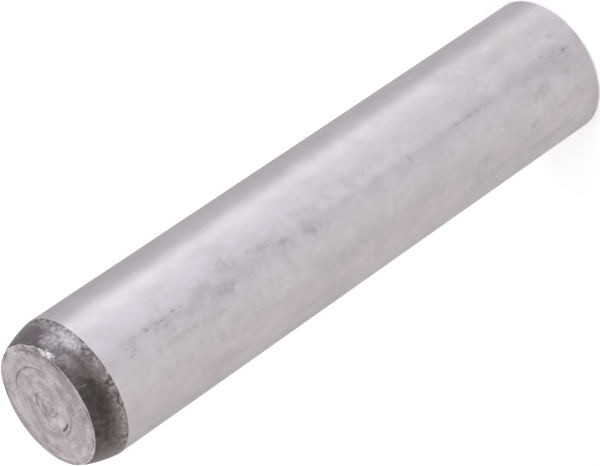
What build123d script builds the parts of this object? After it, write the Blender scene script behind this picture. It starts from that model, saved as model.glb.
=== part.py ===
"""A lower link pin: one solid of hardened steel.

The shank is ground to a running fit. One end carries a short crowned lead, which finds the bores of the links, and
a faced end with the marks of the turning tool, a gouge and a knock on its rim. The other end is faced flat, with
its edge broken, and the pin stands on it here. Sizes are in millimetres, with the axis along Z.
"""

import os
from math import cos, radians, sin

from build123d import *

# The ground shank
diameter = 16.0
length = 75.0
seat_break = 0.3

# The crowned lead
lead_length = 3.55
lead_drop = 1.07
lead_crown = 0.11
rim_round = 0.12

# The turned marks, as shares of the faced end's radius
tool_nose = 0.35
ring_depth = 0.03
ring_radius_shares = (0.105, 0.19, 0.24, 0.505, 0.65, 0.8, 0.91)

# The gouge, a curved dig beside the turned centre
gouge_radius_share = 0.425
gouge_section = 0.22
gouge_depth = 0.1
gouge_lean = 28.0
gouge_angle = 195.0

# The knock on the rim
knock_section = 1.4
knock_depth = 0.14
knock_angle = 309.0

# Half of a size, and the middle of a line
half_share = 0.5

radius = diameter * half_share
face_radius = radius - lead_drop
shank_top = length - lead_length

# The lead bulges from its straight cone by the crown, square to the cone at its middle.
cone_length = (lead_length**2 + lead_drop**2) ** half_share
crown_out = lead_crown * lead_length / cone_length
crown_up = lead_crown * lead_drop / cone_length
lead_middle = (
    face_radius + lead_drop * half_share + crown_out,
    shank_top + lead_length * half_share + crown_up,
)

with BuildPart() as link_pin:
    # Half of the long section, turned about the axis
    with BuildSketch(Plane.XZ) as half_section:
        with BuildLine() as outline:
            Line((0, 0), (radius, 0))
            Line((radius, 0), (radius, shank_top))
            ThreePointArc((radius, shank_top), lead_middle, (face_radius, length))
            Line((face_radius, length), (0, length))
            Line((0, length), (0, 0))
        make_face()
    revolve(axis=Axis.Z)

    # The seat's edge is broken, and the rim of the faced end is worn round.
    chamfer(link_pin.edges().group_by(Axis.Z)[0], seat_break)
    fillet(link_pin.edges().group_by(Axis.Z)[-1], rim_round)

    # Each turned mark is one pass of a round-nosed tool.
    with BuildSketch(Plane.XZ) as tool_passes:
        nose_height = length + tool_nose - ring_depth
        with Locations(*[(share * face_radius, nose_height) for share in ring_radius_shares]):
            Circle(tool_nose)
    revolve(axis=Axis.Z, mode=Mode.SUBTRACT)

    # A leaning ring that dips into the face leaves the gouge, deepest at its middle.
    gouge_radius = gouge_radius_share * face_radius
    gouge_rise = gouge_radius * sin(radians(gouge_lean)) + gouge_section - gouge_depth
    gouge_run = gouge_radius * (1 - cos(radians(gouge_lean)))
    gouge_way = radians(gouge_angle)
    gouge_centre = Location(
        (gouge_run * cos(gouge_way), gouge_run * sin(gouge_way), length + gouge_rise),
        (0, 0, gouge_angle),
    )
    with Locations(gouge_centre):
        Torus(gouge_radius, gouge_section, rotation=(0, gouge_lean, 0), mode=Mode.SUBTRACT)

    # The knock is a round dent into the rim, square to the corner.
    knock_offset = (knock_section - knock_depth) * half_share**half_share
    knock_way = radians(knock_angle)
    knock_reach = face_radius + knock_offset
    knock_centre = (knock_reach * cos(knock_way), knock_reach * sin(knock_way), length + knock_offset)
    with Locations(knock_centre):
        Sphere(knock_section, mode=Mode.SUBTRACT)

link_pin.part.label = "link_pin"

os.makedirs("parts", exist_ok=True)
export_step(link_pin.part, "parts/link_pin.step")
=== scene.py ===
# %% [markdown]
# # A lower link pin
# One turned piece of hardened steel: a ground shank, a dark crowned lead and a faced end with the marks
# of the tool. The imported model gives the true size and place, so this lesson starts there. It then
# remakes the pin's skin as one finer surface, because tool marks a tenth of a millimetre wide need more
# faces than a working solid carries.

# %% Load the frame
from math import cos, pi, radians, sin

import bpy
import numpy as np
from mathutils import Matrix, Vector


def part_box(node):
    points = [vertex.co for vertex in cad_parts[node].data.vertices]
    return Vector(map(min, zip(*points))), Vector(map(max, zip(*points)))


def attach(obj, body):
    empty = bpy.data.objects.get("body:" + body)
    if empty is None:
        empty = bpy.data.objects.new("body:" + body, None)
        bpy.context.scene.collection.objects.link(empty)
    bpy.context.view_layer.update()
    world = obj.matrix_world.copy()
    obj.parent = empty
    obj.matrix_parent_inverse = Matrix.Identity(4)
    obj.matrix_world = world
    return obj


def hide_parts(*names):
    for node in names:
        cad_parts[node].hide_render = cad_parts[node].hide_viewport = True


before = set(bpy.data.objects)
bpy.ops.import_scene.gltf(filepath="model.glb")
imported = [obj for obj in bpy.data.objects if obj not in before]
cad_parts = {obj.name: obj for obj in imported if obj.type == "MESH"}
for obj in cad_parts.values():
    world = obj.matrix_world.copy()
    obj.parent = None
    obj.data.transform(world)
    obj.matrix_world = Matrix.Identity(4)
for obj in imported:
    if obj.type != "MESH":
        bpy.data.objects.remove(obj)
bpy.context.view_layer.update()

pin_low, pin_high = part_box("link_pin")
shank_radius = min(pin_high[0], pin_high[1], -pin_low[0], -pin_low[1])
pin_length = pin_high[2] - pin_low[2]
print("pin radius and length in metres:", round(shank_radius, 6), round(pin_length, 6))

# %% [markdown]
# ## The camera
# The pin stands on its seat, and the picture shows it lying across the frame, so the camera looks down at
# it from one side and is rolled by more than a right angle. A long lens from about a third of a metre
# gives the slight taper that the outline has. Aiming at a point on the axis keeps the numbers few:
# height, distance, elevation and roll.

# %% Place the camera
aim_height = 0.0391
view_distance = 0.3515
view_elevation = radians(32.02)
view_roll = radians(124.4)
lens_mm = 200.65

camera_data = bpy.data.cameras.new("view")
camera_data.lens = lens_mm
camera_data.sensor_width = 36
camera_data.clip_start = 0.01
camera = bpy.data.objects.new("view", camera_data)
bpy.context.collection.objects.link(camera)
back_off = Vector((0, -cos(view_elevation), sin(view_elevation))) * view_distance
stand = Matrix.Translation(Vector((0, 0, aim_height)) + back_off)
tip = Matrix.Rotation(pi / 2 - view_elevation, 4, "X")
camera.matrix_world = stand @ tip @ Matrix.Rotation(-view_roll, 4, "Z")
bpy.context.scene.camera = camera
print("camera at", [round(v, 4) for v in camera.matrix_world.translation])

# %% [markdown]
# ## The half section
# A turned part is one outline swept round an axis. The outline could be a Bezier curve with a Screw
# modifier, but worked out as an array it can also say which zone each row belongs to and where the rows
# should be dense: few on the plain shank, many on the lead and the faced end, and a close pair at each
# crisp edge so that smooth shading stays crisp.

# %% Work out the half section
seat_break = 0.0003
lead_length = 0.00355
lead_drop = 0.00107
lead_crown = 0.00011
rim_round = 0.00008
edge_gap = 0.00003
face_radius = shank_radius - lead_drop
shank_top = pin_length - lead_length


def straight(start, end, count):
    """Points at even steps from start to end, both included."""
    return np.linspace(start, end, count)


def crowned(start, end, bulge, count):
    """The straight line from start to end, pushed square to itself by a parabola that peaks at bulge."""
    t = np.linspace(0, 1, count)[:, None]
    run = np.array(end) - np.array(start)
    square = np.array((run[1], -run[0])) / np.hypot(*run)
    return np.array(start) + t * run + 4 * bulge * t * (1 - t) * square


def rounded(start, corner, end, count):
    """A quadratic curve that leaves start towards the corner and arrives at end from it."""
    t = np.linspace(0, 1, count)[:, None]
    return (1 - t) ** 2 * np.array(start) + 2 * t * (1 - t) * np.array(corner) + t**2 * np.array(end)


lead = crowned((shank_radius, shank_top), (face_radius, pin_length), lead_crown, 48)
rim_start, rim_corner = (lead[-2] + lead[-1]) / 2, (face_radius, pin_length)
rim_end = (face_radius - rim_round, pin_length)
zones = {
    "seat": straight((shank_radius / 9, 0), (shank_radius - seat_break - edge_gap, 0), 8),
    "break": straight((shank_radius - seat_break, 0), (shank_radius, seat_break), 4),
    "shank": np.vstack([
        straight((shank_radius, seat_break + edge_gap), (shank_radius, shank_top - edge_gap), 66),
        [(shank_radius, shank_top)],
    ]),
    "lead": lead[1:-1],
    "rim": rounded(rim_start, rim_corner, rim_end, 9),
    "face": straight((face_radius - rim_round - edge_gap, pin_length), (edge_gap, pin_length), 112),
}
section = np.vstack(list(zones.values()))
zone_of_row = np.repeat(np.arange(len(zones)), [len(rows) for rows in zones.values()])
print("rows in each zone:", {name: len(rows) for name, rows in zones.items()})

# %% [markdown]
# ## Wear and tool marks as heights
# Every mark on the pin is a small height above or below the plain outline, as a function of the place
# along the section and the angle round the axis. Sculpting could make them, and so could a displacement
# texture, but a formula for each mark keeps it at its real size and lets the next one build on it. Angles
# are from the front, which faces the camera.

# %% Set out the grid and helpers
columns = 400
turn = np.arange(columns) / columns * 2 * pi
front = 1.5 * pi
tangent = np.gradient(section, axis=0)
tangent /= np.linalg.norm(tangent, axis=1, keepdims=True)
normal = np.stack([tangent[:, 1], -tangent[:, 0]], axis=1)
radius_grid = np.repeat(section[:, :1], columns, axis=1)
turn_grid = np.repeat(turn[None], len(section), axis=0)
row_names = np.array(list(zones))[zone_of_row]
from_corner = np.linalg.norm(section - np.array(rim_corner), axis=1)


def angle_from(place):
    """The angle in radians from a bearing in degrees off the front, wrapped to half a turn each way."""
    return (turn_grid - front - radians(place) + pi) % (2 * pi) - pi


def hump(offset, reach):
    """One at no offset, easing to zero at the reach on both sides: a squared parabola."""
    return np.clip(1 - (offset / reach) ** 2, 0, None) ** 2


def step_up(value, low, high):
    """Zero below low, one above high, and an easy S between."""
    t = np.clip((value - low) / (high - low), 0, 1)
    return t * t * (3 - 2 * t)


def rough_field(seed, cells_round, cells_along):
    """Smooth random heights from -1 to 1: a seeded lattice that closes round the pin, eased between points."""
    lattice = np.random.default_rng(seed).uniform(-1, 1, (cells_along + 2, cells_round))
    along = np.concatenate([[0], np.cumsum(np.linalg.norm(np.diff(section, axis=0), axis=1))])
    v = np.repeat((along / along[-1] * cells_along)[:, None], columns, axis=1)
    u = turn_grid / (2 * pi) * cells_round
    i, j = v.astype(int), u.astype(int)
    s, t = step_up(v - i, 0, 1), step_up(u - j, 0, 1)
    after = (j + 1) % cells_round
    low = lattice[i, j] * (1 - t) + lattice[i, after] * t
    high = lattice[i + 1, j] * (1 - t) + lattice[i + 1, after] * t
    return low * (1 - s) + high * s


print("grid of", len(section), "rows by", columns, "columns")

# %% [markdown]
# ## The faced end
# The end was parted off and faced on a lathe. Close rings crowd the centre, where the tool slowed, then
# come wider passes. Each pass is the bite of a round-nosed tool: deepest in the middle and rising as a
# parabola. It is deepest over an arc and fades along its length. A fine spiral of feed marks lies over
# the rings.

# %% Cut the rings
tool_nose = 0.00035
ring_depth = 0.00003
ring_radius_shares = np.array((0.105, 0.19, 0.24, 0.505, 0.65, 0.8, 0.91))
ring_bearings = np.radians((180, -85, 130, -70, 100, -28, 62))
ring_half_sweeps = np.radians((300, 130, 120, 85, 80, 45, 30))
ring_drift = 0.0001
feed = 0.00033
feed_depth = 0.000005

on_face = row_names == "face"
ring_wander = rough_field(3, 13, 44) * ring_drift
ring_rise = (radius_grid + ring_wander)[..., None] - ring_radius_shares * face_radius
ring_angle = (turn_grid[..., None] - front - ring_bearings + pi) % (2 * pi) - pi
ring_arc = 0.3 + 0.9 * hump(ring_angle, ring_half_sweeps)
rings = np.clip(ring_depth * ring_arc - ring_rise**2 / (2 * tool_nose), 0, None).max(axis=2)
ring_fade = np.clip(0.75 + 0.7 * rough_field(8, 14, 70), 0, 1)
spiral = np.cos(2 * pi * (radius_grid + ring_wander) / feed - turn_grid)
print("deepest ring in mm:", round(rings.max() * 1000, 3))

# %% [markdown]
# ## The gouge
# Beside the centre the tool dug in and left a curved gouge. It follows a circle round the axis, and it is
# deepest halfway along, like the mark of a gouge that dips in and out.

# %% Cut the gouge
gouge_radius_share = 0.425
gouge_section = 0.0001
gouge_depth = 0.0001
gouge_bearing = -78
gouge_half_sweep = radians(23)

gouge_angle = angle_from(gouge_bearing)
gouge_line = np.clip(1 - (gouge_angle / gouge_half_sweep) ** 2, 0, None) * gouge_depth
gouge_rise = radius_grid - gouge_radius_share * face_radius
gouge = np.clip(gouge_line - gouge_rise**2 / (2 * gouge_section), 0, None)
height = np.zeros_like(radius_grid)
height -= on_face[:, None] * np.maximum(rings * ring_fade, gouge)
height += on_face[:, None] * feed_depth * spiral
print("deepest mark on the faced end in mm:", round(-height.min() * 1000, 3))

# %% [markdown]
# ## Scale on the lead, and the wavy rim
# The lead kept its skin from heat treatment, which is slightly rough, while the shank was ground clean.
# Two layers of seeded roughness give the skin its tooth. The rim wanders by a few hundredths of a
# millimetre, because the tool that faced the end pushed a little metal over it.

# %% Roughen the lead and the rim
scale_tooth = 0.000007
rim_wander = 0.00004
rim_reach = 0.0006
on_lead = row_names == "lead"
tooth = 0.6 * rough_field(11, 130, 260) + 0.4 * rough_field(12, 300, 600)
lead_share = np.clip((section[:, 1] - shank_top) / lead_length, 0, 1)
keep_edge = on_lead * np.clip(lead_share * 8, 0, 1)
height += keep_edge[:, None] * scale_tooth * tooth
near_rim = hump(from_corner, rim_reach)
height += near_rim[:, None] * rim_wander * (rough_field(21, 22, 4) - 0.6)

points = np.empty(height.shape + (3,))
points[..., 0] = (section[:, :1] + normal[:, :1] * height) * np.cos(turn_grid)
points[..., 1] = (section[:, :1] + normal[:, :1] * height) * np.sin(turn_grid)
points[..., 2] = section[:, 1:] + normal[:, 1:] * height
print("rough skin on", int(on_lead.sum()), "rows of the lead")

# %% [markdown]
# ## The burr
# Something hit the rim, and the metal that it pushed aside stands beside the dent as a burr: a low
# swelling folded over the lead. It starts at once by the dent, keeps its height for a few degrees, drops
# to a thinner lip and dies out. A sculpted fold would do it too, but three easy steps along the rim say
# the same in numbers.

# %% Raise the burr
burr_rise = 0.00045
burr_lost = 0.62

out = np.stack([np.cos(turn_grid), np.sin(turn_grid), np.zeros_like(turn_grid)], axis=-1)
bearing_grid = np.degrees(angle_from(0))
burr_start = step_up(bearing_grid, 36, 41)
burr_tail = (1 - burr_lost * step_up(bearing_grid, 50, 58)) * (1 - step_up(bearing_grid, 69, 76))
burr_lobes = 0.85 + 0.15 * rough_field(31, 70, 6)
burr = burr_start * burr_tail * burr_lobes * near_rim[:, None]
points += out * (burr * burr_rise)[..., None]
print("burr stands", round((burr * burr_rise).max() * 1000, 3), "mm")

# %% [markdown]
# ## The knock
# The dent itself is the bite of a ball, square to the corner: every point inside the ball moves out to
# its surface. A Boolean with a sphere would cut the same shape, but it would break the even grid of
# faces.

# %% Dent the rim
knock_bearing = 39
knock_ball = 0.0014
knock_depth = 0.00014

knock_way = front + radians(knock_bearing)
knock_out = (knock_ball - knock_depth) * 0.5**0.5
knock_reach = face_radius + knock_out
knock_flat = (knock_reach * cos(knock_way), knock_reach * sin(knock_way))
knock_centre = np.array((*knock_flat, pin_length + knock_out))
from_ball = points - knock_centre
gap = np.linalg.norm(from_ball, axis=2)
struck = np.clip(knock_ball - gap, 0, None)
points += from_ball / gap[..., None] * struck[..., None]
points[..., 2] = np.clip(points[..., 2], 0, pin_length)
print("dent is", round(struck.max() * 1000, 3), "mm deep")

# %% [markdown]
# ## The mesh
# The grid becomes quads, with a fan of triangles at each pole so that the skin is closed. Each face takes
# its zone's finish: ground steel on the shank and the broken edge, scale on the lead, and turned steel on
# both ends.

# %% Build the pin's skin
ground_slot, scale_slot, turned_slot = 0, 1, 2
slot_of_zone = {
    "seat": turned_slot,
    "break": ground_slot,
    "shank": ground_slot,
    "lead": scale_slot,
    "rim": turned_slot,
    "face": turned_slot,
}
rows = len(section)
grid_index = np.arange(rows * columns).reshape(rows, columns)
ahead = np.roll(grid_index, -1, axis=1)
quads = np.stack([grid_index[:-1], ahead[:-1], ahead[1:], grid_index[1:]], axis=-1).reshape(-1, 4)
seat_pole, face_pole = rows * columns, rows * columns + 1
seat_fan = np.stack([np.full(columns, seat_pole), ahead[0], grid_index[0]], axis=1)
face_fan = np.stack([np.full(columns, face_pole), grid_index[-1], ahead[-1]], axis=1)
poles = np.array([(0, 0, 0), (0, 0, points[-1, :, 2].mean())])
corners = np.vstack([points.reshape(-1, 3), poles])

skin = bpy.data.meshes.new("link_pin_skin")
skin.from_pydata(corners.tolist(), [], quads.tolist() + seat_fan.tolist() + face_fan.tolist())
finish_of_zone = np.array([slot_of_zone[name] for name in zones])
finish_of_step = finish_of_zone[np.where(row_names[1:] == "rim", zone_of_row[:-1], zone_of_row[1:])]
finish_of_face = np.concatenate([np.repeat(finish_of_step, columns), np.full(2 * columns, turned_slot)])
skin.polygons.foreach_set("material_index", finish_of_face.astype(np.int32))
skin.polygons.foreach_set("use_smooth", np.ones(len(skin.polygons), dtype=bool))
print("skin has", len(skin.polygons), "faces")

# %% [markdown]
# ## What each point knows
# Two numbers are kept at every point for the finishes to read: how far it lies in a tool mark, and how
# far it is bare steel or carries a painted glint. A painted mask would need an image; a number worked out
# with the shape always fits it. The knock is bare steel, and a thin broken line along the rim's corner is
# a painted highlight, a glint standing in for light on the rounded edge.

# %% Keep the numbers and place the pin
rim_glint_reach = 0.00015


def keep_number(name, values):
    """Stores one number at every point, with none at the two poles."""
    layer = skin.attributes.new(name, "FLOAT", "POINT")
    layer.data.foreach_set("value", np.concatenate([values.ravel(), (0, 0)]).astype(np.float32))


keep_number("hollow", np.clip(-height * on_face[:, None] / ring_depth, 0, 2) / 2)
# A painted highlight: a thin broken bright line along the rim's corner stands in for light on the edge, and is
# kept with the bare steel of the knock.
rim_glint = hump(from_corner, rim_glint_reach)[:, None] * np.clip(0.45 + 0.7 * rough_field(41, 110, 6), 0, 1)
keep_number("bare_and_glint", np.clip(np.clip(struck / knock_depth * 3, 0, 1) + 0.8 * rim_glint, 0, 1))
skin.validate()
skin.update()
pin = bpy.data.objects.new("link_pin_skin", skin)
bpy.context.collection.objects.link(pin)
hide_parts("link_pin")
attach(pin, "root")
print("numbers kept:", [layer.name for layer in skin.attributes if layer.name in ("hollow", "bare_and_glint")])

# %% [markdown]
# ## Small helpers for finishes
# A finish is a tree of shader nodes. Adding each node, setting its values and linking it is the same few
# lines every time, so one helper does it. Where a value is a socket, the helper links it; otherwise it
# sets the number.

# %% Make node helpers


def feed_socket(tree, socket, value):
    """Links a socket to the value if that is a socket too, and otherwise sets it."""
    if isinstance(value, bpy.types.NodeSocket):
        tree.links.new(value, socket)
    else:
        socket.default_value = value


def add(tree, kind, inputs=(), **settings):
    """Adds a node of that kind, makes its own settings, then sets or links each input by name or number."""
    made = tree.nodes.new(kind)
    for name, value in settings.items():
        setattr(made, name, value)
    for name, value in dict(inputs).items():
        feed_socket(tree, made.inputs[name], value)
    return made


def maths(tree, operation, first, second=0.0, clamp=False):
    """The result of one sum on two numbers or sockets."""
    made = add(tree, "ShaderNodeMath", {0: first, 1: second}, operation=operation, use_clamp=clamp)
    return made.outputs[0]


def times(tree, first, second):
    """The product of two numbers or sockets."""
    return maths(tree, "MULTIPLY", first, second)


def line_up(tree, value, gain, level):
    """The value times gain, plus level."""
    return maths(tree, "ADD", times(tree, value, gain), level)


def blended(tree, *parts):
    """The sum of sockets, each times its own weight."""
    total = times(tree, *parts[0])
    for part in parts[1:]:
        total = maths(tree, "ADD", total, times(tree, *part))
    return total


print("helpers for sums ready")

# %% Make colour and group helpers


def eased(tree, value, low, high):
    """Zero below low, one above high, and a smooth step between."""
    inputs = {"Value": value, "From Min": low, "From Max": high}
    return add(tree, "ShaderNodeMapRange", inputs, interpolation_type="SMOOTHSTEP").outputs[0]


def mixed(tree, share, first, second):
    """The first colour where share is 0 and the second where it is 1."""
    return add(tree, "ShaderNodeMix", {0: share, 6: first, 7: second}, data_type="RGBA").outputs[2]


def vector(tree, operation, inputs, output=0):
    """One output of a vector sum on the inputs."""
    return add(tree, "ShaderNodeVectorMath", inputs, operation=operation).outputs[output]


def group(name, inputs, outputs):
    """A new shader node group with those named sockets, and its input and output sockets."""
    tree = bpy.data.node_groups.new(name, "ShaderNodeTree")
    for socket, kind in inputs.items():
        tree.interface.new_socket(socket, in_out="INPUT", socket_type="NodeSocket" + kind)
    for socket in outputs:
        tree.interface.new_socket(socket, in_out="OUTPUT", socket_type="NodeSocketFloat")
    return tree, tree.nodes.new("NodeGroupInput").outputs, tree.nodes.new("NodeGroupOutput").inputs


def use(tree, made, inputs, output):
    """Places a node group in a tree and returns one of its outputs."""
    placed = tree.nodes.new("ShaderNodeGroup")
    placed.node_tree = made
    for name, value in inputs.items():
        feed_socket(tree, placed.inputs[name], value)
    return placed.outputs[output]


print("helpers for colours and groups ready")

# %% [markdown]
# ## Grain that runs round the axis
# Turning and grinding both leave lines round the axis. A noise on plain coordinates has no direction, and
# one on an angle has a seam. So this group joins the direction round the axis, as a unit vector, to the
# distance across the lines, and asks for noise there: it closes on itself, and two numbers set how long
# and how wide the lines are.

# %% Make the tool grain group
grain_inputs = {"Position": "Vector", "Around": "Float", "Across": "Float"}
tool_grain, given, result = group("tool_grain", grain_inputs, ["Grain"])
split = add(tool_grain, "ShaderNodeSeparateXYZ", {0: given["Position"]}).outputs
flat = add(tool_grain, "ShaderNodeCombineXYZ", {"X": split["X"], "Y": split["Y"]}).outputs[0]
way = vector(tool_grain, "NORMALIZE", {0: flat})
way = vector(tool_grain, "SCALE", {0: way, "Scale": given["Around"]})
distance = vector(tool_grain, "LENGTH", {0: flat}, "Value")
step = times(tool_grain, maths(tool_grain, "ADD", distance, split["Z"]), given["Across"])
step = add(tool_grain, "ShaderNodeCombineXYZ", {"Z": step}).outputs[0]
place = vector(tool_grain, "ADD", {0: way, 1: step})
noise_inputs = {"Vector": place, "Scale": 1.0, "Detail": 3.0, "Roughness": 0.55}
noise = add(tool_grain, "ShaderNodeTexNoise", noise_inputs)
tool_grain.links.new(noise.outputs[0], result["Grain"])
print("group", tool_grain.name, "made")

# %% [markdown]
# ## A patch with a ragged edge
# Worn spots, smudges and stains each sit at one place. This group measures how far a point is from a
# centre, in reaches, and breaks the edge with noise, so that one group gives every patch on the pin its
# own place and size.

# %% Make the patch group
patch_inputs = {"Position": "Vector", "Centre": "Vector", "Reach": "Vector"}
patch_inputs |= {"Ragged": "Float", "Fineness": "Float"}
patch, given, result = group("ragged_patch", patch_inputs, ["Mask"])
offset = vector(patch, "SUBTRACT", {0: given["Position"], 1: given["Centre"]})
offset = vector(patch, "DIVIDE", {0: offset, 1: given["Reach"]})
distance = vector(patch, "LENGTH", {0: offset}, "Value")
noise_inputs = {"Vector": given["Position"], "Scale": given["Fineness"], "Detail": 4.0}
noise = add(patch, "ShaderNodeTexNoise", noise_inputs)
edge = times(patch, maths(patch, "SUBTRACT", noise.outputs[0], 0.5), given["Ragged"])
inside = maths(patch, "ADD", maths(patch, "SUBTRACT", 1.0, distance), edge)
patch.links.new(eased(patch, inside, -0.1, 0.9), result["Mask"])
print("group", patch.name, "made")

# %% Place patches by bearing and height
mm = 0.001


def on_pin(bearing, height, radius=shank_radius):
    """The place at that bearing in degrees off the front and that height, at that distance from the axis."""
    angle = front + radians(bearing)
    return (radius * cos(angle), radius * sin(angle), height)


def patch_mask(tree, position, centre, reach_mm, ragged, fineness):
    """The mask of one ragged patch, with its reach in mm along each of the three axes."""
    reach = tuple(part * mm for part in reach_mm)
    inputs = {"Position": position, "Centre": centre, "Reach": reach}
    return use(tree, patch, inputs | {"Ragged": ragged, "Fineness": fineness}, "Mask")


print("the front of the shank is at", [round(v, 4) for v in on_pin(0, 0)])

# %% [markdown]
# ## Pits and chips
# Rust pits on the shank and bright chips in the scale are both scattered dots. A cell noise gives each
# point its distance to the nearest of many random seeds, and a random number for that seed, so a dot is
# drawn round some of the seeds and not round others.

# %% Make the dots group
dots_inputs = {"Position": "Vector", "Fineness": "Float", "Amount": "Float"}
dots, given, result = group("scattered_dots", dots_inputs, ["Mask"])
cell_inputs = {"Vector": given["Position"], "Scale": given["Fineness"]}
cells = add(dots, "ShaderNodeTexVoronoi", cell_inputs).outputs
lot = add(dots, "ShaderNodeSeparateColor", {0: cells["Color"]}).outputs[0]
chosen = maths(dots, "GREATER_THAN", lot, maths(dots, "SUBTRACT", 1.0, given["Amount"]))
inside = maths(dots, "SUBTRACT", 1.0, eased(dots, cells["Distance"], 0.18, 0.48))
dots.links.new(times(dots, inside, chosen), result["Mask"])
print("group", dots.name, "made")

# %% [markdown]
# ## Ground steel for the shank
# Grinding leaves a soft satin with lines too fine to see one by one. They scatter light along the axis
# far more than round it, which is what anisotropy is for: the highlight becomes a band down the shank.
# Clouds of slightly different grey keep it from looking like plastic, and a shallow waviness makes the
# edge of each reflection wander.

# %% Start the ground steel


def new_finish(name):
    """A new material with nodes: its tree, its shader and the position on the pin."""
    made = bpy.data.materials.new(name)
    made.use_nodes = True
    tree = made.node_tree
    shader = tree.nodes["Principled BSDF"]
    position = tree.nodes.new("ShaderNodeTexCoord").outputs["Object"]
    return made, tree, shader, position


def noise_at(tree, position, scale, stretch=(1, 1, 1), detail=4.0):
    """Noise from 0 to 1 with that many cells a metre, stretched where a factor is under 1."""
    placed = add(tree, "ShaderNodeMapping", {"Vector": position, "Scale": stretch}).outputs[0]
    return add(tree, "ShaderNodeTexNoise", {"Vector": placed, "Scale": scale, "Detail": detail}).outputs[0]


ground, tree, shader, position = new_finish("ground_shank")
cloud = noise_at(tree, position, 620.0, (1, 1, 0.7), 6.0)
broad = noise_at(tree, position, 190.0, (1, 1, 0.6), 2.0)
streak = noise_at(tree, position, 2200.0, (1, 1, 0.1), 2.0)
dust = noise_at(tree, position, 3000.0, (1, 1, 0.8), 2.0)
tone = blended(tree, (cloud, 0.55), (broad, 0.3), (streak, 0.10), (dust, 0.12))
shank_dark, shank_light = (0.523, 0.491, 0.521, 1), (0.594, 0.558, 0.593, 1)
colour = mixed(tree, eased(tree, tone, 0.37, 0.70), shank_dark, shank_light)
print("ground steel runs from", shank_dark[:3], "to", shank_light[:3])

# %% [markdown]
# ## Smudges on the shank
# Handling and a little rust left soft smudges and a few streaks along the axis. Each is a patch with a
# centre and a reach. A painted image could hold them all, but a row of numbers for each keeps them sharp
# at any size and easy to move. The three long faint streaks at bearings -56 and -52 are painted shade:
# they darken a band down that side of the shank.

# %% Smudge and shade the shank
smudge_and_shade_colour = (0.31, 0.288, 0.306, 1)
# bearing in degrees, height in mm, reach round the shank and along it in mm, strength
smudges_and_shade_streaks = [
    (10, 57.5, 0.9, 1.6, 0.23), (13, 53.8, 0.9, 1.8, 0.43), (-3, 55.3, 0.9, 2.2, 0.43),
    (8, 49.0, 0.8, 2.4, 0.40), (2, 46.5, 0.5, 0.9, 0.36), (0, 43.0, 1.6, 0.9, 0.45),
    (-6, 42.8, 1.0, 0.7, 0.29), (-5, 41.0, 1.1, 1.6, 0.26), (5, 64.4, 0.3, 4.6, 0.24),
    (0, 62.6, 0.3, 3.6, 0.22), (-13, 62.0, 0.5, 4.6, 0.30), (-16, 57.0, 0.4, 2.6, 0.19),
    (-30, 62.8, 0.3, 0.5, 0.25), (44, 52.0, 0.3, 0.8, 0.29), (1, 37.2, 0.4, 1.4, 0.24),
    (-34, 41.0, 0.9, 6.0, 0.17), (0, 27.7, 0.6, 0.3, 0.40), (-9, 26.8, 0.25, 0.5, 0.40),
    (-36, 19.0, 0.6, 2.4, 0.19), (1, 18.7, 0.26, 5.2, 0.43), (38, 28.0, 0.5, 1.0, 0.14),
    (38, 16.6, 1.1, 3.0, 0.22), (3, 8.4, 1.7, 3.4, 0.24), (3, 4.4, 1.5, 2.4, 0.24),
    (-16, 8.4, 0.9, 2.2, 0.37), (-12, 4.1, 0.4, 1.0, 0.40), (-8, 3.0, 2.0, 2.6, 0.17),
    (2, 2.9, 0.2, 0.34, 0.68), (17, 3.1, 0.5, 0.7, 0.25), (-35, 10.6, 0.5, 1.2, 0.32),
    # The entries at bearings -56 and -52 are painted shade: long faint streaks that darken a band down that
    # side of the shank.
    (-35, 6.1, 0.35, 1.0, 0.36), (-56, 45.0, 0.9, 5.0, 0.13), (-56, 9.0, 0.7, 5.0, 0.22),
    (-52, 17.0, 0.7, 6.0, 0.17),
]
speckle = line_up(tree, eased(tree, noise_at(tree, position, 1500.0), 0.36, 0.6), 0.4, 0.6)
for bearing, level, around, along, strength in smudges_and_shade_streaks:
    centre = on_pin(bearing, level * mm)
    mask = patch_mask(tree, position, centre, (around, around, along), 1.9, 1500.0)
    share = times(tree, times(tree, mask, speckle), strength)
    colour = mixed(tree, share, colour, smudge_and_shade_colour)
print(len(smudges_and_shade_streaks), "smudges on the shank")

# %% [markdown]
# ## Films and mottling
# Wider areas differ only a little: a rubbed band is brighter, and oil or rust leaves a brown or pink
# film. Some stretches are faintly mottled. These are the same patches, drawn larger, and for mottling the
# edge noise is so strong that it breaks the whole patch up. The dark patch at bearing -54 by the lead is
# painted shade, part of the same darker band down one side of the shank.

# %% Film, shade and mottle the shank
# bearing in degrees, height in mm, reach round the shank and along it in mm, strength, colour
films_and_shade = [
    (6, 31.0, 0.8, 21.0, 0.62, (0.66, 0.63, 0.665, 1)),
    (22, 62.0, 2.6, 10.0, 0.06, (0.68, 0.645, 0.685, 1)),
    (-54, 3.0, 1.8, 2.8, 0.25, (0.66, 0.64, 0.65, 1)),
    (33, 8.0, 2.4, 10.0, 0.34, (0.42, 0.382, 0.372, 1)),
    # The dark entry at bearing -54 is painted shade, part of the darker band down that side of the shank.
    (-54, 58.2, 1.6, 3.8, 0.34, (0.43, 0.375, 0.39, 1)),
]
for bearing, level, around, along, strength, patch_colour in films_and_shade:
    centre = on_pin(bearing, level * mm)
    mask = patch_mask(tree, position, centre, (around, around, along), 1.6, 700.0)
    colour = mixed(tree, times(tree, mask, strength), colour, patch_colour)

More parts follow.
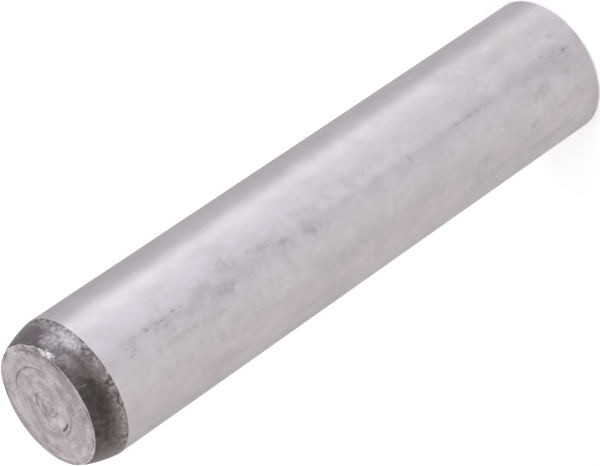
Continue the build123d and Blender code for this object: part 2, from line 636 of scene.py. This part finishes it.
# bearing in degrees, height in mm, reach round the shank and along it in mm, strength
mottled = [
    (5, 52.0, 2.0, 16.0, 0.13),
    (1, 20.0, 2.4, 18.0, 0.10),
    (-16, 58.0, 3.0, 12.0, 0.10),
    (-34, 30.0, 2.4, 30.0, 0.08),
]
for bearing, level, around, along, strength in mottled:
    centre = on_pin(bearing, level * mm)
    mask = patch_mask(tree, position, centre, (around, around, along), 4.0, 950.0)
    colour = mixed(tree, times(tree, mask, strength), colour, smudge_and_shade_colour)
print(len(films_and_shade), "films and", len(mottled), "mottled areas on the shank")

# %% [markdown]
# ## Rows of pits
# Two rows of small pits run along the shank near the lead, with a few more beside them. The dots show
# only inside their patch, and they are drawn out along the axis by squeezing the height before the cell
# noise sees it.

# %% Pit the shank
pit_colour = (0.12, 0.108, 0.118, 1)
pit_strength = 0.6
drawn_out = add(tree, "ShaderNodeMapping", {"Vector": position, "Scale": (1, 1, 0.4)}).outputs[0]
# bearing in degrees, height in mm, reach round the shank and along it in mm, share of dots that show
pit_rows = [
    (5.1, 64.4, 0.32, 5.2, 0.7),
    (0.2, 62.4, 0.32, 4.0, 0.6),
    (0.2, 58.0, 0.6, 0.9, 0.5),
    (-2.0, 68.6, 0.8, 1.5, 0.5),
]
for bearing, level, around, along, amount in pit_rows:
    centre = on_pin(bearing, level * mm)
    mask = patch_mask(tree, position, centre, (around, around, along), 0.4, 500.0)
    pits = use(tree, dots, {"Position": drawn_out, "Fineness": 3000.0, "Amount": amount}, "Mask")
    colour = mixed(tree, times(tree, times(tree, mask, pits), pit_strength), colour, pit_colour)
tree.links.new(colour, shader.inputs["Base Color"])
print(len(pit_rows), "rows of pits on the shank")

# %% Finish the ground steel
round_the_axis = 0.25
wave = noise_at(tree, position, 300.0, (1, 1, 0.7), 3.0)
bump = add(tree, "ShaderNodeBump", {"Height": wave, "Distance": 0.00005, "Strength": 1.0})
tree.links.new(bump.outputs[0], shader.inputs["Normal"])
lines = use(tree, tool_grain, {"Position": position, "Around": 3.0, "Across": 5200.0}, "Grain")
gloss = maths(tree, "ADD", blended(tree, (cloud, 0.08), (lines, 0.05)), 0.415)
tree.links.new(gloss, shader.inputs["Roughness"])
shader.inputs["Metallic"].default_value = 1.0
shader.inputs["Anisotropic"].default_value = 0.9
shader.inputs["Anisotropic Rotation"].default_value = round_the_axis
shader.inputs["Specular Tint"].default_value = (0.65, 0.65, 0.65, 1)
pin.data.materials.append(ground)
print("finish", ground.name, "made")

# %% [markdown]
# ## Scale on the lead
# Heat treatment left the lead nearly black where the scale is whole, and grey-violet or brown where it is
# thin. A mottle of two dark greys is the base, and each thin place is a tinted patch over it.

# %% Make the scale
scale, tree, shader, position = new_finish("scaled_lead")
mottle = noise_at(tree, position, 1500.0, (1, 1, 1), 6.0)
whole, thin = (0.038, 0.0285, 0.0265, 1), (0.087, 0.070, 0.069, 1)
colour = mixed(tree, eased(tree, mottle, 0.38, 0.68), whole, thin)


def lead_place(bearing, level):
    """The place on the lead at that bearing in degrees and that height in mm."""
    return on_pin(bearing, level * mm, float(np.interp(level * mm, lead[:, 1], lead[:, 0])))


# bearing, height in mm, reach round the lead and along it in mm, raggedness, strength, colour of the scale
tints = [
    (72, 73.3, 5.0, 3.0, 0.7, 0.65, (0.132, 0.107, 0.132, 1)),
    (38, 73.2, 3.2, 3.0, 1.2, 0.50, (0.192, 0.166, 0.194, 1)),
    (34, 72.4, 2.8, 1.2, 1.6, 0.65, (0.322, 0.286, 0.322, 1)),
    (14, 73.6, 2.2, 2.0, 1.2, 0.60, (0.13, 0.102, 0.110, 1)),
    (2, 72.5, 2.6, 0.8, 1.8, 0.65, (0.168, 0.126, 0.120, 1)),
    (-26, 72.3, 2.8, 0.7, 1.8, 0.60, (0.158, 0.125, 0.116, 1)),
    (-48, 72.5, 2.4, 1.1, 1.8, 0.60, (0.168, 0.128, 0.116, 1)),
    (-18, 73.7, 2.4, 2.0, 0.8, 0.70, (0.024, 0.0195, 0.018, 1)),
    (3, 71.7, 3.2, 0.5, 1.4, 0.75, (0.20, 0.162, 0.160, 1)),
    (-45, 71.8, 3.8, 0.6, 1.4, 0.80, (0.222, 0.178, 0.166, 1)),
    (-3, 74.1, 0.14, 1.0, 0.4, 0.50, (0.22, 0.20, 0.205, 1)),
    (-80, 73.3, 4.0, 2.8, 0.8, 0.65, (0.156, 0.132, 0.130, 1)),
]
for bearing, level, around, along, ragged, strength, tint in tints:
    centre = lead_place(bearing, level)
    mask = patch_mask(tree, position, centre, (around, around, along), ragged, 2100.0)
    colour = mixed(tree, times(tree, mask, strength), colour, tint)
print("scale with", len(tints), "tinted places")

# %% [markdown]
# ## Wear through the scale
# The scale is bright where it has been knocked off: in flecks and chips along the edge of the shank, in
# rubbed places, and at the knock. Along the rim's corner it also takes a painted glint, a bright line that
# stands in for light on the edge. It is dull and only half metallic, and bare steel is brighter and fully
# metallic, so one mask of wear and glint drives colour, metal and gloss together.

# %% Wear the scale
height_up = add(tree, "ShaderNodeSeparateXYZ", {0: position}).outputs["Z"]
band = eased(tree, height_up, shank_top, shank_top + 0.45 * lead_length)
edge_band = maths(tree, "SUBTRACT", 1.0, band)
fleck_noise = noise_at(tree, position, 2600.0, (1, 1, 1), 3.0)
grain = line_up(tree, eased(tree, noise_at(tree, position, 3800.0), 0.34, 0.62), 0.65, 0.35)
flecks = times(tree, eased(tree, fleck_noise, 0.42, 0.68), edge_band)
wear_and_glint = times(tree, flecks, 0.5)
chips = use(tree, dots, {"Position": position, "Fineness": 2400.0, "Amount": 0.22}, "Mask")
wear_and_glint = maths(tree, "MAXIMUM", wear_and_glint, times(tree, times(tree, chips, edge_band), 0.5))
# bearing, height in mm, reach round the lead and along it in mm, raggedness, strength
rubbed = [
    (31, 72.3, 2.2, 1.1, 2.0, 0.66),
    (47, 72.2, 1.7, 0.8, 2.0, 0.50),
    (36, 74.70, 1.2, 0.48, 1.4, 0.85),
    (44, 73.4, 1.7, 1.2, 2.0, 0.36),
    (59, 72.2, 1.5, 0.8, 2.0, 0.42),
    (22, 73.9, 1.3, 0.9, 2.0, 0.25),
    (6, 72.0, 2.2, 0.5, 2.0, 0.20),
]
for bearing, level, around, along, ragged, strength in rubbed:
    centre = lead_place(bearing, level)
    mask = patch_mask(tree, position, centre, (around, around, along), ragged, 2400.0)
    wear_and_glint = maths(tree, "MAXIMUM", wear_and_glint, times(tree, times(tree, mask, grain), strength))
print("scale worn in", len(rubbed), "rubbed places")

# %% Finish the scale
# The rim's painted glint joins the worn places here and takes the bare steel's colour, metal and gloss.
bare_and_glint_scale = (0.58, 0.55, 0.575, 1)
bare_and_glint = add(tree, "ShaderNodeAttribute", attribute_name="bare_and_glint").outputs["Fac"]
wear_and_glint = maths(tree, "MAXIMUM", wear_and_glint, times(tree, bare_and_glint, grain), True)
tree.links.new(mixed(tree, wear_and_glint, colour, bare_and_glint_scale), shader.inputs["Base Color"])
tree.links.new(line_up(tree, wear_and_glint, 0.5, 0.5), shader.inputs["Metallic"])
tree.links.new(line_up(tree, wear_and_glint, -0.1, 0.5), shader.inputs["Roughness"])
bump = add(tree, "ShaderNodeBump", {"Height": fleck_noise, "Distance": 0.00002, "Strength": 0.6})
tree.links.new(bump.outputs[0], shader.inputs["Normal"])
pin.data.materials.append(scale)
print("finish", scale.name, "made")

# %% [markdown]
# ## The turned end
# The faced end is dull and a little pink, brighter on its ridges. Grain that runs round the axis carries
# the fine and the broad lines, two plain noises break them up, and a few wide patches are darker or
# lighter.

# %% Make the turned steel
turned, tree, shader, position = new_finish("turned_end")
fine = use(tree, tool_grain, {"Position": position, "Around": 2.2, "Across": 3800.0}, "Grain")
broad = use(tree, tool_grain, {"Position": position, "Around": 1.6, "Across": 900.0}, "Grain")
blotch = noise_at(tree, position, 800.0)
speck = noise_at(tree, position, 2600.0, (1, 1, 1), 3.0)
tone = blended(tree, (fine, 0.26), (broad, 0.30), (blotch, 0.3), (speck, 0.14))
face_dark, face_light = (0.255, 0.226, 0.238, 1), (0.485, 0.442, 0.46, 1)
colour = mixed(tree, eased(tree, tone, 0.38, 0.62), face_dark, face_light)
# bearing in degrees, distance from the axis in mm, reach across and along the view in mm, strength, colour
casts = [
    (-62, 4.4, 2.6, 2.2, 0.65, (0.30, 0.254, 0.250, 1)),
    (-28, 2.4, 1.3, 0.8, 0.45, (0.56, 0.51, 0.525, 1)),
    (104, 4.4, 2.0, 2.4, 0.42, (0.29, 0.252, 0.258, 1)),
    (63, 6.4, 0.9, 0.7, 0.45, (0.20, 0.165, 0.19, 1)),
    (165, 5.0, 3.0, 2.0, 0.50, (0.50, 0.47, 0.49, 1)),
    (-112, 4.6, 2.2, 2.0, 0.35, (0.31, 0.272, 0.278, 1)),
]
for bearing, distance_out, across, along, strength, cast in casts:
    centre = on_pin(bearing, pin_length, distance_out * mm)
    mask = patch_mask(tree, position, centre, (across, along, 1.0), 1.6, 900.0)
    colour = mixed(tree, times(tree, mask, strength), colour, cast)
print("turned steel with", len(casts), "darker or lighter places")

# %% [markdown]
# ## Dirt, painted shade and torn metal on the faced end
# Dirt sits in the tool marks, more in some stretches than in others, and the gouge is filled with
# painted shade, dark as the shadow in a deep cut. Near the rim the tool tore the metal, and by the burr
# painted shade marks the creases between its folds; both show as short dark dashes: the same grain as the
# lines, cut short by asking for many more cells round the axis.

# %% Dirty, shade and tear the faced end
dirt_and_shade_colour, torn_and_shade_colour = (0.095, 0.082, 0.087, 1), (0.13, 0.112, 0.118, 1)
hollow = add(tree, "ShaderNodeAttribute", attribute_name="hollow").outputs["Fac"]
broken = line_up(tree, eased(tree, noise_at(tree, position, 1100.0), 0.4, 0.6), 0.9, 0.5)
# Painted shade: the deep part of the gouge is darkened as if in its own shadow.
gouge_shade = times(tree, eased(tree, hollow, 0.55, 1.0), 0.9)
dirt_and_gouge_shade = maths(tree, "MAXIMUM", times(tree, hollow, broken), gouge_shade)
colour = mixed(tree, dirt_and_gouge_shade, colour, dirt_and_shade_colour)

dash = use(tree, tool_grain, {"Position": position, "Around": 15.0, "Across": 2600.0}, "Grain")
by_rim = on_pin(-24, pin_length, 6.1 * mm)
by_burr = on_pin(60, pin_length, 6.2 * mm)
near = patch_mask(tree, position, by_rim, (3.8, 2.4, 1.0), 1.0, 900.0)
from_axis = vector(tree, "MULTIPLY", {0: position, 1: (1, 1, 0)})
from_axis = vector(tree, "LENGTH", {0: from_axis}, "Value")
near = times(tree, near, eased(tree, from_axis, 5.2 * mm, 5.8 * mm))
near = maths(tree, "MAXIMUM", near, patch_mask(tree, position, by_burr, (1.5, 1.4, 1.0), 0.8, 900.0))
# By the burr these dashes are painted shade in the creases of its folds; by the rim they stand for torn metal.
torn_and_fold_shade = times(tree, eased(tree, dash, 0.54, 0.66), near)
colour = mixed(tree, times(tree, torn_and_fold_shade, 0.7), colour, torn_and_shade_colour)
print("dirt in the marks and torn metal by the rim")

# %% Finish the turned steel
# Bare steel at the knock, and along the rim's corner a painted glint: a bright line standing in for light on
# the edge.
bare_and_glint_face = (0.82, 0.79, 0.81, 1)
bare_and_glint = add(tree, "ShaderNodeAttribute", attribute_name="bare_and_glint").outputs["Fac"]
colour = mixed(tree, maths(tree, "MULTIPLY", bare_and_glint, 0.7, True), colour, bare_and_glint_face)
tree.links.new(colour, shader.inputs["Base Color"])
tree.links.new(line_up(tree, fine, 0.2, 0.34), shader.inputs["Roughness"])
shader.inputs["Metallic"].default_value = 1.0
shader.inputs["Anisotropic"].default_value = 0.4
shader.inputs["Anisotropic Rotation"].default_value = round_the_axis
bump = add(tree, "ShaderNodeBump", {"Height": tone, "Distance": 0.00003, "Strength": 0.7})
tree.links.new(bump.outputs[0], shader.inputs["Normal"])
pin.data.materials.append(turned)
print("finish", turned.name, "made")

# %% [markdown]
# ## Floor and room
# The pin stands on white paper in a pale room. The paper glows a little for the camera and for
# reflections, which keeps it white without more light on the pin, and its own shading still takes the
# shadow.

# %% Lay the paper and light the room
floor_half = 3.0
paper_white = 0.75
paper_glow = 0.29
room_white = (0.70, 0.695, 0.70, 1)
floor_corners = [(-floor_half, -floor_half, 0), (floor_half, -floor_half, 0)]
floor_corners += [(floor_half, floor_half, 0), (-floor_half, floor_half, 0)]
floor_mesh = bpy.data.meshes.new("floor")
floor_mesh.from_pydata(floor_corners, [], [(0, 1, 2, 3)])
floor = bpy.data.objects.new("floor", floor_mesh)
bpy.context.collection.objects.link(floor)
paper, tree, shader, position = new_finish("white_paper")
shader.inputs["Base Color"].default_value = (paper_white, paper_white, paper_white, 1)
shader.inputs["Roughness"].default_value = 1.0
shader.inputs["Specular IOR Level"].default_value = 0.0
path = tree.nodes.new("ShaderNodeLightPath").outputs
seen = maths(tree, "MAXIMUM", path["Is Glossy Ray"], path["Is Transmission Ray"])
seen = maths(tree, "MAXIMUM", path["Is Camera Ray"], seen)
shader.inputs["Emission Color"].default_value = (1, 1, 1, 1)
tree.links.new(times(tree, seen, paper_glow), shader.inputs["Emission Strength"])
floor_mesh.materials.append(paper)

world = bpy.data.worlds.new("room")
world.use_nodes = True
world.node_tree.nodes["Background"].inputs["Color"].default_value = room_white
bpy.context.scene.world = world
print("paper and room ready")

# %% [markdown]
# ## Lamps
# Steel shows what surrounds it, so the lamps are large soft panels placed where the shank reflects them:
# a bright narrow one to one side makes the highlight, a cooler one stands beside it, a broad one in
# front, a dim warm one on the other side, and one behind for the faced end and the two edges of the
# shank.

# %% Hang the lamps


def softbox(name, bearing, elevation, distance, size, radiance, colour):
    """A rectangular lamp that faces the pin's middle from a bearing, elevation and distance."""
    data = bpy.data.lights.new(name, "AREA")
    data.shape = "RECTANGLE"
    data.size, data.size_y = size
    data.energy = radiance * pi * size[0] * size[1]
    data.color = colour
    level = distance * cos(radians(elevation))
    middle = Vector((0, 0, pin_length / 2))
    away = Vector(on_pin(bearing, distance * sin(radians(elevation)), level))
    lamp = bpy.data.objects.new(name, data)
    lamp.location = middle + away
    lamp.rotation_euler = (-away).to_track_quat("-Z", "Y").to_euler()
    bpy.context.collection.objects.link(lamp)
    return lamp


softbox("key", 74.5, 24, 0.5, (0.22, 0.46), 2.3, (1.0, 0.99, 1.0))
softbox("cool", 36, 26, 0.6, (0.50, 0.50), 1.42, (0.87, 0.925, 1.0))
softbox("front", -28, 38, 0.7, (0.66, 0.50), 1.22, (1.0, 0.985, 0.99))
softbox("warm", -92, 26, 0.6, (0.74, 0.50), 0.48, (1.0, 0.88, 0.58))
softbox("back", -174, 34, 0.7, (0.60, 0.40), 0.9, (1.0, 0.98, 0.99))
bpy.context.scene.view_settings.view_transform = "Standard"
print("lamps hung:", len(bpy.data.lights))
